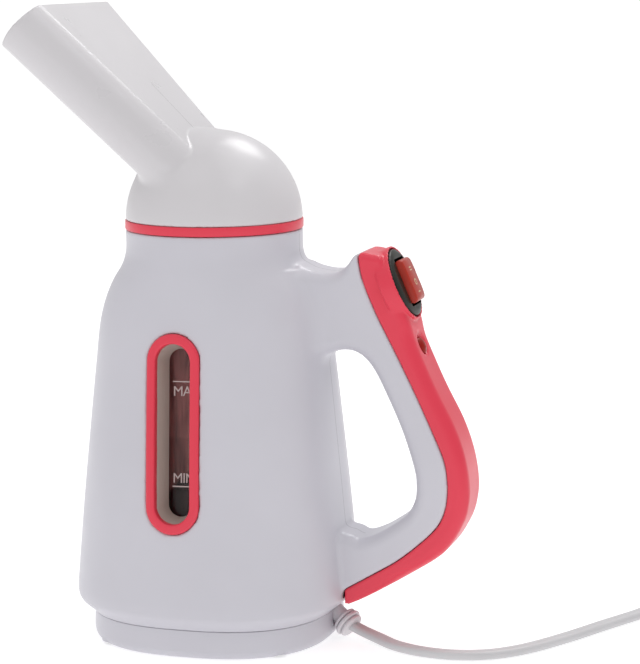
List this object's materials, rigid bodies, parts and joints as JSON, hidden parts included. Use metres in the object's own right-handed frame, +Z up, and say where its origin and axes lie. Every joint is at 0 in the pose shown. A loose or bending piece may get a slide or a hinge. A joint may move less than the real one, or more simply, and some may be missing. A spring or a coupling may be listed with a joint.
{
  "type": "handheld garment steamer",
  "caption": "Handheld garment steamer: oval water body with a side window, D handle with rocker switch and lamp, flared twist-off steam nozzle and a coiled mains cord.",
  "frame": {"origin": "On the body's vertical axis, in the plane that the base cap rests on.", "axes": "+Z up along the body's axis, +X towards the handle, -X towards the nozzle's mouth, -Y towards the water window."},
  "size_m": [0.3416, 0.1696, 0.2626],
  "materials": {
    "white_plastic": "satin moulded, faintly warm white",
    "pink_plastic": "satin moulded, coral pink",
    "grey_plastic": "fine matt grain",
    "black_plastic": "satin",
    "red_plastic": "glossy",
    "lamp_plastic": "dark red, glossy",
    "clear_plastic": "smoky transparent, polished",
    "silicone": "matt, iron-oxide red",
    "cord_vinyl": "soft matt vinyl",
    "steel": "plain zinc-bright",
    "brass": "plain",
    "aluminium": "die-cast, matt",
    "glass": "clear, slightly smoky"
  },
  "bodies": {
    "body": {"base_cap": "white_plastic", "base_screw_1": "steel", "base_screw_2": "steel", "base_screw_3": "steel", "base_screw_4": "steel", "body_shell": "white_plastic", "boiler_cap": "black_plastic", "boiler_gasket": "silicone", "clamp_screw_1": "steel", "clamp_screw_2": "steel", "cord_clamp": "grey_plastic", "cord_coil": "cord_vinyl", "cord_end": "cord_vinyl", "cord_gland": "cord_vinyl", "cord_tail": "cord_vinyl", "cord_tie": "black_plastic", "cover_screw_1": "steel", "cover_screw_2": "steel", "handle_cover": "pink_plastic", "heater_plate": "aluminium", "heater_screw_1": "steel", "heater_screw_2": "steel", "heater_screw_3": "steel", "heating_element": "steel", "indicator_lamp": "glass", "indicator_lens": "lamp_plastic", "lead_live": "red_plastic", "lead_neutral": "black_plastic", "lead_switch_feed": "red_plastic", "lead_switch_return": "black_plastic", "neck_ring": "pink_plastic", "neck_seal": "silicone", "plug_body": "cord_vinyl", "plug_pin_1": "brass", "plug_pin_2": "brass", "power_cord": "cord_vinyl", "steam_riser": "grey_plastic", "switch_housing": "black_plastic", "switch_terminal_1": "brass", "switch_terminal_2": "brass", "switch_terminal_3": "brass", "terminal_block": "white_plastic", "thermal_fuse": "glass", "thermostat": "steel", "water_tank": "clear_plastic", "window_frame": "pink_plastic", "window_pane": "clear_plastic", "window_tunnel": "grey_plastic"},
    "head_ring": {"head_seal": "silicone"},
    "head": {"nozzle_head": "white_plastic", "nozzle_grille": "white_plastic", "head_plug": "white_plastic", "steam_baffle": "white_plastic"},
    "rocker": {"switch_rocker": "red_plastic"}
  },
  "joints": [
    {"name": "head_rise", "type": "slide", "parent": "body", "child": "head_ring", "axis": [0, 0, 1], "range_m": [0, 0.013]},
    {"name": "head_twist", "type": "hinge", "parent": "head_ring", "child": "head", "pos_m": [0, 0, 0.169], "axis": [0, 0, 1], "range_deg": [0, 90]},
    {"name": "rocker_tilt", "type": "hinge", "parent": "body", "child": "rocker", "pos_m": [0.07942, 0, 0.14921], "axis": [0, 1, 0], "range_deg": [-12, 12]}
  ],
  "couplings": [
    {"joint": "head_rise", "follows": "head_twist", "m_per_rad": 0.0082761}
  ]
}
